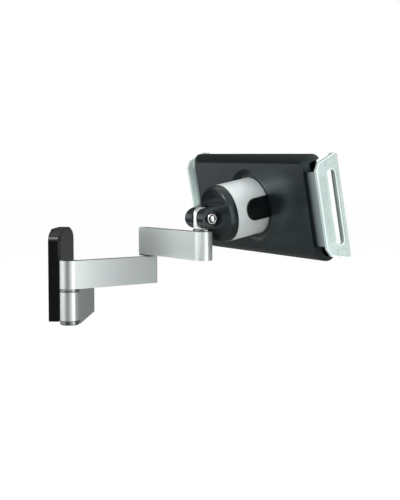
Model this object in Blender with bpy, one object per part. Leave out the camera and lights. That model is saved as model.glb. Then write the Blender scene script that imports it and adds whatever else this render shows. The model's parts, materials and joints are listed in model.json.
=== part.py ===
"""Tablet wall mount: a folding aluminium arm with a tilting, turning holder that grips a tablet by its sides."""

import math

import bmesh
import bpy
from mathutils import Matrix, Vector

MM = 0.001
SHARP_ANGLE = 33.0

# Pose at rest, in degrees
ARM_1_HEADING = 42.4
ARM_2_HEADING = -54.4
HEAD_HEADING = 33.3
HEAD_TILT = 11.2
HOLDER_TURN = 0.8

# Wall end, in millimetres: x is out of the wall, y along it and z up
FLOOR_Z = -35.6
COVER_WIDTH = 66.0
COVER_TOP_Z = 34.4
COVER_SHOULDER_Z = 29.8
COVER_DEPTH = 9.0
COVER_WALL = 1.8
COVER_SIDE_RADIUS = 7.0
COVER_CROWN_INSET = 15.0
PLATE_CLEARANCE = 0.4
PLATE_CORNER = 4.0
PLATE_THICKNESS = 2.0
WALL_HOLE_RADIUS = 2.8
WALL_HOLE_SLIDE = 3.0
WALL_HOLE_INSET = 10.8
WALL_HOLE_DROP = (6.2, 31.2)
HINGE_X = 18.5
HINGE_REACH = 14.0
KNUCKLE_RADIUS = 7.2
BRACKET_TOP_Z = -9.5
BRACKET_WALL = 2.6
BRACKET_CORNER = 1.5
BRACKET_KNUCKLE_LOW = -32.3
BRACKET_KNUCKLE_HIGH = -11.0
BRACKET_NOTCH_RADIUS = 7.9
BOSS_RADIUS = 4.6
BOSS_Y = (-16.0, 16.0)
BOSS_Z = -22.0
BOSS_REACH = 2.3

# Arms
ARM_HEIGHT = 21.0
ARM_1_LOW = -8.6
ARM_2_LOW = 13.8
ARM_SPACING = 72.0
ARM_THICKNESS = 8.0
ARM_1_OVERHANG = 5.7
ARM_2_OVERHANG = 10.6
ARM_END_RADIUS = 1.6
ARM_FILLET = 3.0
ELBOW_PAD_LENGTH = 17.0

# Pivots
GAP = 0.3
WALL_PIN_RADIUS = 3.2
WALL_BORE_RADIUS = 5.0
ELBOW_PIN_RADIUS = 2.1
ELBOW_BORE_RADIUS = 3.3
SCREW_RADIUS = 1.8
SCREW_HEAD_RADIUS = 4.5

# Tilt joint, measured from the bolt axis: x is towards the tablet, y to the far side and z up
BOLT_HEIGHT = 9.8
WASHER_TOP = 1.9
TONGUE_LOW = 2.2
TONGUE_HALF = 6.4
TONGUE_THICKNESS = 4.4
TONGUE_TOP = 7.9
TONGUE_CORNER = 4.8
EAR_RADIUS = 7.6
EAR_INNER = 3.4
EAR_OUTER = 13.9
CHANNEL_CLEARANCE = 0.7
BOLT_RADIUS = 2.0
BOLT_HEAD_RADIUS = 3.6
BOLT_HEAD_HEIGHT = 3.4
BOLT_HEAD_Y = -13.4
BOLT_RECESS_RADIUS = 6.0
BOLT_RECESS_FLOOR = -11.2
HEX_KEY = 3.0
NUT_ACROSS = 7.0
NUT_THICKNESS = 3.2
NUT_Y = 9.4

# Head
CAP_FRONT_X = 10.5
CAP_BACK_X = 17.5
CAP_RADIUS = 21.0
CAP_DISH_RADIUS = 18.6
CAP_DISH_FLOOR = 13.7
SLEEVE_RADIUS = 21.2
SLEEVE_WALL = 1.9
SLEEVE_START_X = 17.8
SLEEVE_END_X = 44.8
CORE_RADIUS = 18.9
CORE_END_X = 26.0
BUTTON_START_X = 25.4
BUTTON_WIDTH = 16.0
BUTTON_PROUD = 0.5
BUTTON_THICKNESS = 2.2
BUTTON_STROKE = 2.0
HUB_RADIUS = 13.8
HUB_GROOVE_RADIUS = 11.0
HUB_START = -16.1
HUB_GROOVE_START = -11.1
HUB_GROOVE_WIDTH = 4.0
NOSE_THICKNESS = 2.4

# Holder, measured from its back face
HOLDER_X = 42.5
HOLDER_HEIGHT = 67.0
RIM_CLEARANCE = 1.1
RIM_SPREAD = 9.5
RIM_RISE = 4.4
HOLDER_DEPTH = 8.0
HOLDER_WALL = 1.8
HOLDER_EDGE = 2.4
HOLDER_CORNER = 6.0
HOLDER_SHOULDER_X = 3.6
HOLDER_RIM_X = 6.8
HOLDER_RIM_CORNER = 9.0
RECESS_RADIUS = 27.9
RECESS_FLOOR_RADIUS = 23.0
RECESS_DEPTH = 2.7
FRONT_THICKNESS = 1.4
PAD_WIDTH = 26.0
PAD_HEIGHT = 12.0
PAD_CORNER = 3.0
PAD_INSET = 32.6
PAD_DROP = 12.0
PAD_THICKNESS = 1.1
FLANGE_RADIUS = 18.0
FLANGE_THICKNESS = 1.2
FLANGE_X = 4.4
RACK_THICKNESS = 1.8
RACK_X = 6.0
TOOTH_PITCH = 3.2
TEETH = 14
RACK_TEETH = 17
WINDOW_HALF = 26.6
WINDOW_INSET = 1.4
TABLET_HALF_WIDTH = 84.6

# Grips
GRIP_INWARD = 6.8
GRIP_CLEARANCE = 0.6
SLIDER_BLOCK_LENGTH = 15.0
GRIP_THICKNESS = 2.5
GRIP_BACK_X = 0.8
GRIP_FRONT_X = 20.1
GRIP_LIP = 4.0
GRIP_LIP_THICKNESS = 2.4
GRIP_LIP_PROUD = 0.2
GRIP_BACK_HALF = 27.5
GRIP_SHOULDER_HALF = 32.6
GRIP_FRONT_HALF = 37.6
GRIP_SLOT_X = (9.8, 15.9)
GRIP_SLOT_HALF = 26.3


def clear_scene():
    for obj in list(bpy.data.objects):
        bpy.data.objects.remove(obj, do_unlink=True)


def make_material(name, colour, metallic, roughness, alpha=1.0):
    material = bpy.data.materials.new(name)
    material.use_nodes = True
    shader = material.node_tree.nodes["Principled BSDF"]
    shader.inputs["Base Color"].default_value = (*colour, 1.0)
    shader.inputs["Metallic"].default_value = metallic
    shader.inputs["Roughness"].default_value = roughness
    shader.inputs["Alpha"].default_value = alpha
    return material


def frame(name, parent, place, turn=0.0, about="Z"):
    """An empty that carries the pieces of one body; each joint's axis runs through its origin."""
    empty = bpy.data.objects.new(name, None)
    bpy.context.collection.objects.link(empty)
    empty.parent = parent
    offset = Matrix.Translation(Vector(place) * MM)
    empty.matrix_basis = offset @ Matrix.Rotation(math.radians(turn), 4, about)
    return empty


def oriented(point, axis):
    """A point of an outline, with its height last, turned so that the height runs along the axis."""
    across, up, height = point
    if axis == "x":
        return (height, across, up)
    if axis == "y":
        return (across, height, up)
    return (across, up, height)


def add_object(name, points, faces, material, parent):
    mesh = bpy.data.meshes.new(name)
    mesh.from_pydata([Vector(point) * MM for point in points], [], faces)
    shape = bmesh.new()
    shape.from_mesh(mesh)
    bmesh.ops.recalc_face_normals(shape, faces=shape.faces)
    shape.to_mesh(mesh)
    shape.free()
    obj = bpy.data.objects.new(name, mesh)
    bpy.context.collection.objects.link(obj)
    obj.parent = parent
    if material is None:
        obj.hide_render = True
        obj.display_type = "WIRE"
    else:
        mesh.materials.append(material)
        mesh.shade_smooth()
        mesh.set_sharp_from_angle(angle=math.radians(SHARP_ANGLE))
    return obj


def loft(name, sections, material, parent, axis="z"):
    """A solid through outlines of the same number of points, each with its height along the axis."""
    count = len(sections[0][1])
    points = []
    for height, outline in sections:
        points += [oriented((across, up, height), axis) for across, up in outline]
    faces = [tuple(range(count)), tuple(range(len(points) - count, len(points)))]
    for level in range(len(sections) - 1):
        for index in range(count):
            here = level * count + index
            after = level * count + (index + 1) % count
            faces.append((here, after, after + count, here + count))
    return add_object(name, points, faces, material, parent)


def prism(name, outline, low, high, material, parent, axis="z"):
    return loft(name, [(low, outline), (high, outline)], material, parent, axis)


def turned(name, profile, material, parent, axis="z", centre=(0.0, 0.0), steps=32, ring=False):
    """A solid of revolution from (height, radius) points; a ring joins its last point to its first."""
    points = []
    loops = []
    for height, radius in profile:
        if radius == 0:
            loops.append([len(points)] * steps)
            points.append(oriented((*centre, height), axis))
            continue
        loops.append(list(range(len(points), len(points) + steps)))
        for step in range(steps):
            angle = 2 * math.pi * (step + 0.5) / steps
            across = centre[0] + radius * math.cos(angle)
            up = centre[1] + radius * math.sin(angle)
            points.append(oriented((across, up, height), axis))
    faces = []
    pairs = list(zip(loops, loops[1:] + loops[:1] if ring else loops[1:]))
    for first, second in pairs:
        for step in range(steps):
            after = (step + 1) % steps
            face = [first[step], first[after], second[after], second[step]]
            face = [corner for place, corner in enumerate(face) if corner not in face[:place]]
            if len(face) > 2:
                faces.append(tuple(face))
    return add_object(name, points, faces, material, parent)


def cylinder(name, radius, low, high, material, parent, axis="z", centre=(0.0, 0.0), steps=32):
    profile = [(low, 0), (low, radius), (high, radius), (high, 0)]
    return turned(name, profile, material, parent, axis, centre, steps)


def tube(name, outer, inner, low, high, material, parent, axis="z", centre=(0.0, 0.0), steps=32):
    profile = [(low, inner), (low, outer), (high, outer), (high, inner)]
    return turned(name, profile, material, parent, axis, centre, steps, ring=True)


def box(name, low, high, material, parent):
    outline = [(low[0], low[1]), (high[0], low[1]), (high[0], high[1]), (low[0], high[1])]
    return prism(name, outline, low[2], high[2], material, parent)


def arc(centre, radius, start, end, count):
    """Points along an arc between two angles in degrees, both ends included."""
    angles = [math.radians(start + (end - start) * step / count) for step in range(count + 1)]
    return [(centre[0] + radius * math.cos(a), centre[1] + radius * math.sin(a)) for a in angles]


def rounded(corners, count=4):
    """An outline through (x, y, radius) corners, each one rounded by an arc."""
    outline = []
    for index, (x, y, radius) in enumerate(corners):
        here = Vector((x, y))
        if radius == 0:
            outline.append((x, y))
            continue
        before = (Vector(corners[index - 1][:2]) - here).normalized()
        after = (Vector(corners[(index + 1) % len(corners)][:2]) - here).normalized()
        half = before.angle(after) / 2
        centre = here + (before + after).normalized() * radius / math.sin(half)
        first = here + before * radius / math.tan(half) - centre
        last = here + after * radius / math.tan(half) - centre
        sweep = first.angle_signed(last)
        for step in range(count + 1):
            spoke = Matrix.Rotation(-sweep * step / count, 2) @ first
            outline.append(tuple(centre + spoke))
    return outline


def rectangle(width, height, radius, count=4, centre=(0.0, 0.0)):
    left, right = centre[0] - width / 2, centre[0] + width / 2
    low, high = centre[1] - height / 2, centre[1] + height / 2
    corners = [(left, low, radius), (right, low, radius), (right, high, radius), (left, high, radius)]
    return rounded(corners, count)


def combine(target, operation, others):
    for other in others:
        modifier = target.modifiers.new(other.name, "BOOLEAN")
        modifier.operation = operation
        modifier.solver = "EXACT"
        modifier.object = other
    return target


def cut(target, *others):
    return combine(target, "DIFFERENCE", others)


def join(target, *others):
    return combine(target, "UNION", others)


clear_scene()

aluminium = make_material("aluminium", (0.78, 0.79, 0.80), 1.0, 0.34)
black_plastic = make_material("black_plastic", (0.020, 0.022, 0.024), 0.0, 0.42)
gloss_black = make_material("gloss_black", (0.012, 0.012, 0.014), 0.0, 0.12)
chrome = make_material("chrome", (0.86, 0.87, 0.88), 1.0, 0.08)
steel = make_material("steel", (0.60, 0.61, 0.62), 1.0, 0.30)
nylon = make_material("nylon", (0.70, 0.69, 0.65), 0.0, 0.50)
grip_plastic = make_material("grip_plastic", (0.62, 0.66, 0.65), 0.0, 0.35)
slider_plastic = make_material("slider_plastic", (0.09, 0.10, 0.12), 0.0, 0.30)
rubber = make_material("rubber", (0.03, 0.03, 0.03), 0.0, 0.80)

# Sizes that follow from the ones above
hinge_y = -COVER_WIDTH / 2 - HINGE_REACH
bracket_end_y = COVER_WIDTH / 2
plate_low = FLOOR_Z + COVER_WALL + 2 * PLATE_CLEARANCE
plate_high = COVER_SHOULDER_Z - COVER_WALL - 2 * PLATE_CLEARANCE
plate_width = COVER_WIDTH - 2 * (COVER_WALL + PLATE_CLEARANCE)
rim_width = 2 * (TABLET_HALF_WIDTH - RIM_CLEARANCE)
rim_height = HOLDER_HEIGHT + 2 * RIM_RISE
holder_width = rim_width - 2 * RIM_SPREAD
window_start = holder_width / 2 - WINDOW_INSET
grip_stop = TABLET_HALF_WIDTH - GRIP_INWARD - GRIP_CLEARANCE

# Frames, one for each moving body
arm_pivot_y = (ARM_THICKNESS / 2) - KNUCKLE_RADIUS
wall_frame = frame("wall_frame", None, (0, 0, 0))
arm_1_frame = frame("arm_1_frame", wall_frame, (HINGE_X, hinge_y, 0), ARM_1_HEADING)
arm_2_frame = frame(
    "arm_2_frame", arm_1_frame, (ARM_SPACING, arm_pivot_y, 0), ARM_2_HEADING - ARM_1_HEADING
)
swivel_frame = frame(
    "swivel_frame",
    arm_2_frame,
    (ARM_SPACING, -arm_pivot_y, ARM_2_LOW + ARM_HEIGHT),
    HEAD_HEADING - ARM_2_HEADING,
)
head_frame = frame("head_frame", swivel_frame, (0, 0, BOLT_HEIGHT), -HEAD_TILT, "Y")
holder_frame = frame("holder_frame", head_frame, (HOLDER_X, 0, 0), HOLDER_TURN, "X")


def cover_outline(inset):
    side = COVER_WIDTH / 2 - inset
    top = COVER_TOP_Z - inset
    shoulder = COVER_SHOULDER_Z - inset
    crown = COVER_WIDTH / 2 - COVER_CROWN_INSET
    low = FLOOR_Z + inset
    corners = [
        (-side, low, 0.8),
        (side, low, 0.8),
        (side, shoulder, COVER_SIDE_RADIUS - inset / 2),
        (crown, top, 14.0),
        (-crown, top, 14.0),
        (-side, shoulder, COVER_SIDE_RADIUS - inset / 2),
    ]
    return rounded(corners, 5)


# Wall cover, wall plate and bracket
wall_cover = loft(
    "wall_cover",
    [
        (0.0, cover_outline(0.0)),
        (COVER_DEPTH - 1.8, cover_outline(0.0)),
        (COVER_DEPTH - 0.9, cover_outline(0.3)),
        (COVER_DEPTH - 0.3, cover_outline(0.9)),
        (COVER_DEPTH, cover_outline(1.7)),
    ],
    black_plastic,
    wall_frame,
    "x",
)
cover_cavity = prism(
    "cover_cavity", cover_outline(COVER_WALL), -1.0, COVER_DEPTH - COVER_WALL, None, wall_frame, "x"
)
cut(wall_cover, cover_cavity)
wall_plate = prism(
    "wall_plate",
    rectangle(
        plate_width, plate_high - plate_low, PLATE_CORNER,
        centre=(0.0, (plate_high + plate_low) / 2),
    ),
    0.0,
    PLATE_THICKNESS,
    steel,
    wall_frame,
    "x",
)
for side in (-1, 1):
    for row, drop in zip(("high", "low"), WALL_HOLE_DROP):
        slot = prism(
            f"wall_hole_{'near' if side < 0 else 'far'}_{row}",
            rectangle(
                2 * (WALL_HOLE_RADIUS + WALL_HOLE_SLIDE),
                2 * WALL_HOLE_RADIUS,
                WALL_HOLE_RADIUS - 0.01,
                4,
                (side * (plate_width / 2 - WALL_HOLE_INSET), plate_high - drop),
            ),
            -1.0,
            PLATE_THICKNESS + 1.0,
            None,
            wall_frame,
            "x",
        )
        cut(wall_plate, slot)

hinge = (HINGE_X, hinge_y)
bracket_front = HINGE_X + KNUCKLE_RADIUS
bracket_back = HINGE_X - KNUCKLE_RADIUS
bracket_outline = arc((HINGE_X, hinge_y), KNUCKLE_RADIUS, 180, 360, 18)
bracket_outline += arc(
    (bracket_front - BRACKET_CORNER, bracket_end_y - BRACKET_CORNER), BRACKET_CORNER, 0, 90, 3
)
bracket_outline += arc(
    (bracket_back + BRACKET_CORNER, bracket_end_y - BRACKET_CORNER), BRACKET_CORNER, 90, 180, 3
)
wall_bracket = prism(
    "wall_bracket", bracket_outline, FLOOR_Z, BRACKET_TOP_Z, aluminium, wall_frame
)
bracket_pocket = box(
    "bracket_pocket",
    (bracket_back - 1.0, hinge_y + 12.0, FLOOR_Z + BRACKET_WALL),
    (bracket_front - BRACKET_WALL, bracket_end_y - BRACKET_WALL, BRACKET_TOP_Z - BRACKET_WALL),
    None,
    wall_frame,
)
notch_low = cylinder(
    "notch_low", BRACKET_NOTCH_RADIUS, FLOOR_Z - 1.0, BRACKET_KNUCKLE_LOW, None, wall_frame,
    centre=hinge, steps=32,
)
notch_high = cylinder(
    "notch_high", BRACKET_NOTCH_RADIUS, BRACKET_KNUCKLE_HIGH, BRACKET_TOP_Z + 1.0, None, wall_frame,
    centre=hinge, steps=32,
)
bracket_bore = cylinder(
    "bracket_bore", WALL_PIN_RADIUS + GAP, FLOOR_Z - 1.0, BRACKET_TOP_Z + 1.0, None, wall_frame,
    centre=hinge, steps=24,
)
cut(wall_bracket, bracket_pocket, notch_low, notch_high, bracket_bore)
for side, boss_y in zip(("near", "far"), BOSS_Y):
    boss = cylinder(
        f"boss_{side}", BOSS_RADIUS, BOSS_REACH, bracket_front - 1.2, None, wall_frame, "x",
        (boss_y, BOSS_Z), 28,
    )
    boss_hole = cylinder(
        f"boss_hole_{side}", SCREW_RADIUS + GAP, BOSS_REACH - 1.0, 15.0, None, wall_frame, "x",
        (boss_y, BOSS_Z), 20,
    )
    join(wall_bracket, boss)
    cut(wall_bracket, boss_hole)
    cover_hole = cylinder(
        f"cover_hole_{side}", BOSS_RADIUS + 0.5, COVER_DEPTH - 4.0, COVER_DEPTH + 1.0, None,
        wall_frame, "x", (boss_y, BOSS_Z), 28,
    )
    cut(wall_cover, cover_hole)
    plate_hole = turned(
        f"plate_hole_{side}",
        [(-1.0, 0), (-1.0, 5.1), (0.3, 3.8), (1.9, 2.2), (3.0, 2.2), (3.0, 0)],
        None, wall_frame, "x", (boss_y, BOSS_Z), 24,
    )
    cut(wall_plate, plate_hole)
    turned(
        f"bracket_screw_{side}",
        [(0.2, 0), (0.2, 3.5), (1.8, SCREW_RADIUS), (13.5, SCREW_RADIUS), (14.0, 1.3), (14.0, 0)],
        steel, wall_frame, "x", (boss_y, BOSS_Z), 20,
    )

# Wall pivot
cylinder(
    "wall_pin", WALL_PIN_RADIUS, BRACKET_KNUCKLE_LOW + GAP, ARM_1_LOW + 18.0, steel, wall_frame,
    centre=hinge, steps=24,
)
turned(
    "wall_end_cap",
    [
        (FLOOR_Z, 0),
        (FLOOR_Z, KNUCKLE_RADIUS - 0.6),
        (FLOOR_Z + 0.6, KNUCKLE_RADIUS),
        (BRACKET_KNUCKLE_LOW - GAP, KNUCKLE_RADIUS),
        (BRACKET_KNUCKLE_LOW - GAP, 0),
    ],
    gloss_black, wall_frame, centre=hinge, steps=32,
)
turned(
    "wall_washer",
    [
        (BRACKET_KNUCKLE_HIGH + GAP, WALL_PIN_RADIUS + GAP),
        (BRACKET_KNUCKLE_HIGH + GAP, KNUCKLE_RADIUS - 0.3),
        (BRACKET_KNUCKLE_HIGH + 0.6, KNUCKLE_RADIUS),
        (ARM_1_LOW - 0.6, KNUCKLE_RADIUS),
        (ARM_1_LOW - GAP, KNUCKLE_RADIUS - 0.3),
        (ARM_1_LOW - GAP, WALL_PIN_RADIUS + GAP),
    ],
    gloss_black, wall_frame, centre=hinge, steps=32, ring=True,
)


def arm_outline(direction, overhang):
    """The arm's plan, with its knuckle at the origin and its blade towards +x or -x."""
    inner = ARM_THICKNESS - KNUCKLE_RADIUS
    reach = ARM_SPACING + overhang
    rise = inner + ARM_FILLET
    centre = (math.sqrt((KNUCKLE_RADIUS + ARM_FILLET) ** 2 - rise**2), rise)
    meeting = math.degrees(math.atan2(centre[1], centre[0]))
    outline = arc(
        (reach - ARM_END_RADIUS, -KNUCKLE_RADIUS + ARM_END_RADIUS), ARM_END_RADIUS, -90, 0, 4
    )
    outline += arc((reach - ARM_END_RADIUS, inner - ARM_END_RADIUS), ARM_END_RADIUS, 0, 90, 4)
    outline += arc(centre, ARM_FILLET, 270, 180 + meeting, 4)
    outline += arc((0, 0), KNUCKLE_RADIUS, meeting, 270, 26)[1:]
    return [(direction * across, up) for across, up in outline]


# Arm 1
arm_1_outline = arm_outline(1, ARM_1_OVERHANG)
arm_1 = prism("arm_1", arm_1_outline, ARM_1_LOW, ARM_1_LOW + ARM_HEIGHT, aluminium, arm_1_frame)
arm_1_bore = cylinder(
    "arm_1_bore", WALL_BORE_RADIUS, ARM_1_LOW - 1.0, ARM_1_LOW + ARM_HEIGHT + 1.0, None, arm_1_frame
)
elbow_centre = (ARM_SPACING, arm_pivot_y)
arm_1_end_bore = cylinder(
    "arm_1_end_bore", ELBOW_PIN_RADIUS + GAP, ARM_1_LOW - 1.0, ARM_1_LOW + ARM_HEIGHT + 1.0, None,
    arm_1_frame, centre=elbow_centre, steps=24,
)
cut(arm_1, arm_1_bore, arm_1_end_bore)
tube(
    "wall_bush", WALL_BORE_RADIUS - GAP, WALL_PIN_RADIUS + GAP, ARM_1_LOW + 0.1,
    ARM_1_LOW + 18.0, nylon, arm_1_frame, steps=28,
)
turned(
    "wall_pin_cap",
    [
        (ARM_1_LOW + 18.4, 0),
        (ARM_1_LOW + 18.4, WALL_BORE_RADIUS - GAP),
        (ARM_1_LOW + ARM_HEIGHT - 0.2, WALL_BORE_RADIUS - GAP),
        (ARM_1_LOW + ARM_HEIGHT + 0.2, WALL_BORE_RADIUS - 0.9),
        (ARM_1_LOW + ARM_HEIGHT + 0.2, 0),
    ],
    gloss_black, arm_1_frame,
)
cylinder(
    "elbow_pin", ELBOW_PIN_RADIUS, ARM_1_LOW + 0.3, ARM_2_LOW + 18.6, steel, arm_1_frame,
    centre=elbow_centre, steps=20,
)

# Arm 2, with the elbow at its origin
arm_2_outline = [
    (across + ARM_SPACING, up - arm_pivot_y) for across, up in arm_outline(-1, ARM_2_OVERHANG)
]
arm_2 = prism("arm_2", arm_2_outline, ARM_2_LOW, ARM_2_LOW + ARM_HEIGHT, aluminium, arm_2_frame)
arm_2_end_bore = cylinder(
    "arm_2_end_bore", ELBOW_BORE_RADIUS, ARM_2_LOW - 1.0, ARM_2_LOW + ARM_HEIGHT + 1.0, None,
    arm_2_frame, steps=24,
)
head_centre = (ARM_SPACING, -arm_pivot_y)
arm_2_bore = cylinder(
    "arm_2_bore", WALL_BORE_RADIUS, ARM_2_LOW - 1.0, ARM_2_LOW + ARM_HEIGHT + 1.0, None,
    arm_2_frame, centre=head_centre,
)
cut(arm_2, arm_2_end_bore, arm_2_bore)
elbow_pad = prism(
    "elbow_pad",
    rectangle(
        ELBOW_PAD_LENGTH, ARM_THICKNESS - 0.4, ARM_END_RADIUS,
        centre=(ELBOW_PAD_LENGTH / 2 - ARM_2_OVERHANG + 0.2, 0.0),
    ),
    ARM_1_LOW + ARM_HEIGHT + GAP,
    ARM_2_LOW - GAP,
    black_plastic,
    arm_2_frame,
)
elbow_pad_hole = cylinder(
    "elbow_pad_hole", ELBOW_PIN_RADIUS + GAP, 0.0, ARM_2_LOW + 1.0, None, arm_2_frame, steps=20
)
cut(elbow_pad, elbow_pad_hole)
tube(
    "elbow_bush", ELBOW_BORE_RADIUS - GAP, ELBOW_PIN_RADIUS + GAP, ARM_2_LOW + 0.1,
    ARM_2_LOW + 18.6, nylon, arm_2_frame, steps=24,
)
turned(
    "elbow_cap",
    [
        (ARM_2_LOW + 19.0, 0),
        (ARM_2_LOW + 19.0, ELBOW_BORE_RADIUS - GAP),
        (ARM_2_LOW + ARM_HEIGHT - 0.3, ELBOW_BORE_RADIUS - GAP),
        (ARM_2_LOW + ARM_HEIGHT, ELBOW_BORE_RADIUS - GAP - 0.3),
        (ARM_2_LOW + ARM_HEIGHT, 0),
    ],
    gloss_black, arm_2_frame, steps=28,
)
tube(
    "head_bush", WALL_BORE_RADIUS - GAP, WALL_PIN_RADIUS + GAP, ARM_2_LOW + 3.6,
    ARM_2_LOW + ARM_HEIGHT - 0.1, nylon, arm_2_frame, centre=head_centre, steps=28,
)

# Head swivel, with the top of arm 2 at its origin
turned(
    "head_washer",
    [
        (GAP, WALL_PIN_RADIUS + GAP),
        (GAP, KNUCKLE_RADIUS - 0.4),
        (0.7, KNUCKLE_RADIUS - 0.1),
        (WASHER_TOP - 0.4, KNUCKLE_RADIUS - 0.1),
        (WASHER_TOP, KNUCKLE_RADIUS - 0.5),
        (WASHER_TOP, WALL_PIN_RADIUS + GAP),
    ],
    gloss_black, swivel_frame, steps=32, ring=True,
)
tongue_outline = rounded(
    [
        (-TONGUE_HALF, TONGUE_LOW, 0),
        (TONGUE_HALF, TONGUE_LOW, 0),
        (TONGUE_HALF, BOLT_HEIGHT + TONGUE_TOP, TONGUE_CORNER),
        (-TONGUE_HALF, BOLT_HEIGHT + TONGUE_TOP, TONGUE_CORNER),
    ],
    6,
)
swivel_block = prism(
    "swivel_block", tongue_outline, -TONGUE_THICKNESS / 2, TONGUE_THICKNESS / 2, chrome,
    swivel_frame, "y",
)
swivel_stem = cylinder(
    "swivel_stem", WALL_PIN_RADIUS, -ARM_HEIGHT + 4.0, TONGUE_LOW + 1.2, None, swivel_frame, steps=24
)
swivel_eye = cylinder(
    "swivel_eye", BOLT_RADIUS + GAP, -5.0, 5.0, None, swivel_frame, "y", (0.0, BOLT_HEIGHT), 20
)
swivel_screw_hole = cylinder(
    "swivel_screw_hole", SCREW_RADIUS + GAP, -ARM_HEIGHT, -8.0, None, swivel_frame, steps=20
)
join(swivel_block, swivel_stem)
cut(swivel_block, swivel_eye, swivel_screw_hole)
swivel_screw = turned(
    "swivel_screw",
    [
        (-ARM_HEIGHT + 0.4, 0),
        (-ARM_HEIGHT + 0.4, SCREW_HEAD_RADIUS - 0.5),
        (-ARM_HEIGHT + 0.9, SCREW_HEAD_RADIUS),
        (-ARM_HEIGHT + 3.2, SCREW_HEAD_RADIUS),
        (-ARM_HEIGHT + 3.2, SCREW_RADIUS),
        (-9.0, SCREW_RADIUS),
        (-9.0, 0),
    ],
    steel, swivel_frame, steps=24,
)
swivel_screw_socket = cylinder(
    "swivel_screw_socket", 1.7, -ARM_HEIGHT - 1.0, -ARM_HEIGHT + 2.2, None, swivel_frame, steps=6
)
cut(swivel_screw, swivel_screw_socket)

# Tilting head, with the bolt axis at its origin
tilt_cap = turned(
    "tilt_cap",
    [
        (CAP_DISH_FLOOR, 0),
        (CAP_DISH_FLOOR - 0.3, 11.0),
        (CAP_DISH_FLOOR - 1.4, CAP_DISH_RADIUS - 1.8),
        (CAP_FRONT_X, CAP_DISH_RADIUS + 0.3),
        (CAP_FRONT_X - 0.1, CAP_DISH_RADIUS + 1.2),
        (CAP_FRONT_X + 0.6, CAP_RADIUS - 0.5),
        (CAP_FRONT_X + 1.5, CAP_RADIUS),
        (CAP_BACK_X - 1.0, CAP_RADIUS + 0.2),
        (CAP_BACK_X, CAP_RADIUS),
        (CAP_BACK_X, 0),
    ],
    black_plastic, head_frame, "x", steps=44,
)
clevis_dome = turned(
    "clevis_dome",
    [
        (-10.0, 0),
        (-10.0, EAR_OUTER - 1.6),
        (-5.0, EAR_OUTER - 0.5),
        (0.0, EAR_OUTER + 0.4),
        (4.0, EAR_OUTER + 2.2),
        (7.5, EAR_OUTER + 4.4),
        (10.5, EAR_OUTER + 6.2),
        (CAP_BACK_X - 2.0, CAP_RADIUS - 0.1),
        (CAP_BACK_X - 2.0, 0),
    ],
    None, head_frame, "x", steps=44,
)
clevis_outline = arc((0, 0), EAR_RADIUS, 90, 270, 14)
clevis_outline += [(7.5, -EAR_RADIUS), (10.5, -EAR_RADIUS - 0.5), (12.5, -EAR_RADIUS - 2.0)]
clevis_outline += [(CAP_BACK_X - 1.0, -EAR_RADIUS - 4.0), (CAP_BACK_X - 1.0, EAR_RADIUS + 4.0)]
clevis_outline += [(12.5, EAR_RADIUS + 2.0), (10.5, EAR_RADIUS + 0.5), (7.5, EAR_RADIUS)]
clevis = prism(
    "clevis", clevis_outline, -CAP_RADIUS - 2.0, CAP_RADIUS + 2.0, None, head_frame, "y"
)
combine(clevis, "INTERSECT", [clevis_dome])
channel_radius = math.hypot(TONGUE_HALF, BOLT_HEIGHT - TONGUE_LOW) + CHANNEL_CLEARANCE
tongue_channel = cylinder(
    "tongue_channel", channel_radius, -EAR_INNER, EAR_INNER, None, head_frame, "y", steps=36
)
bolt_hole = cylinder(
    "bolt_hole", BOLT_RADIUS + GAP, -CAP_RADIUS, CAP_RADIUS, None, head_frame, "y", steps=20
)
bolt_recess = turned(
    "bolt_recess",
    [
        (-CAP_RADIUS, 0),
        (-CAP_RADIUS, BOLT_RECESS_RADIUS + 1.0),
        (BOLT_RECESS_FLOOR, BOLT_RECESS_RADIUS),
        (BOLT_RECESS_FLOOR, BOLT_HEAD_RADIUS + 0.4),
        (BOLT_HEAD_Y + BOLT_HEAD_HEIGHT + GAP, BOLT_HEAD_RADIUS + 0.4),
        (BOLT_HEAD_Y + BOLT_HEAD_HEIGHT + GAP, 0),
    ],
    None, head_frame, "y", steps=28,
)
nut_recess = cylinder(
    "nut_recess", NUT_ACROSS / math.sqrt(3) + 0.4, NUT_Y - GAP, CAP_RADIUS, None, head_frame, "y",
    steps=6,
)
cap_spigot = cylinder(
    "cap_spigot", SLEEVE_RADIUS - SLEEVE_WALL - GAP, CAP_BACK_X - 1.0, CAP_BACK_X + 2.5, None,
    head_frame, "x", steps=44,
)
join(tilt_cap, clevis, cap_spigot)
cut(tilt_cap, tongue_channel, bolt_hole, bolt_recess, nut_recess)

for side, sign in (("near", -1), ("far", 1)):
    inner = sign * (TONGUE_THICKNESS / 2 + GAP)
    outer = sign * (EAR_INNER - GAP)
    tube(
        f"tilt_washer_{side}", 5.6, BOLT_RADIUS + GAP, min(inner, outer), max(inner, outer), nylon,
        head_frame, "y", steps=24,
    )
tilt_bolt = turned(
    "tilt_bolt",
    [
        (BOLT_HEAD_Y, 0),
        (BOLT_HEAD_Y, BOLT_HEAD_RADIUS - 0.4),
        (BOLT_HEAD_Y + 0.4, BOLT_HEAD_RADIUS),
        (BOLT_HEAD_Y + BOLT_HEAD_HEIGHT, BOLT_HEAD_RADIUS),
        (BOLT_HEAD_Y + BOLT_HEAD_HEIGHT, BOLT_RADIUS),
        (NUT_Y + NUT_THICKNESS + 0.2, BOLT_RADIUS),
        (NUT_Y + NUT_THICKNESS + 0.2, 0),
    ],
    chrome, head_frame, "y", steps=28,
)
bolt_socket = cylinder(
    "bolt_socket", HEX_KEY / math.sqrt(3), BOLT_HEAD_Y - 1.0, BOLT_HEAD_Y + 2.0, None, head_frame,
    "y", steps=6,
)
cut(tilt_bolt, bolt_socket)
tilt_nut = cylinder(
    "tilt_nut", NUT_ACROSS / math.sqrt(3), NUT_Y, NUT_Y + NUT_THICKNESS, steel, head_frame, "y",
    steps=6,
)
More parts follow.
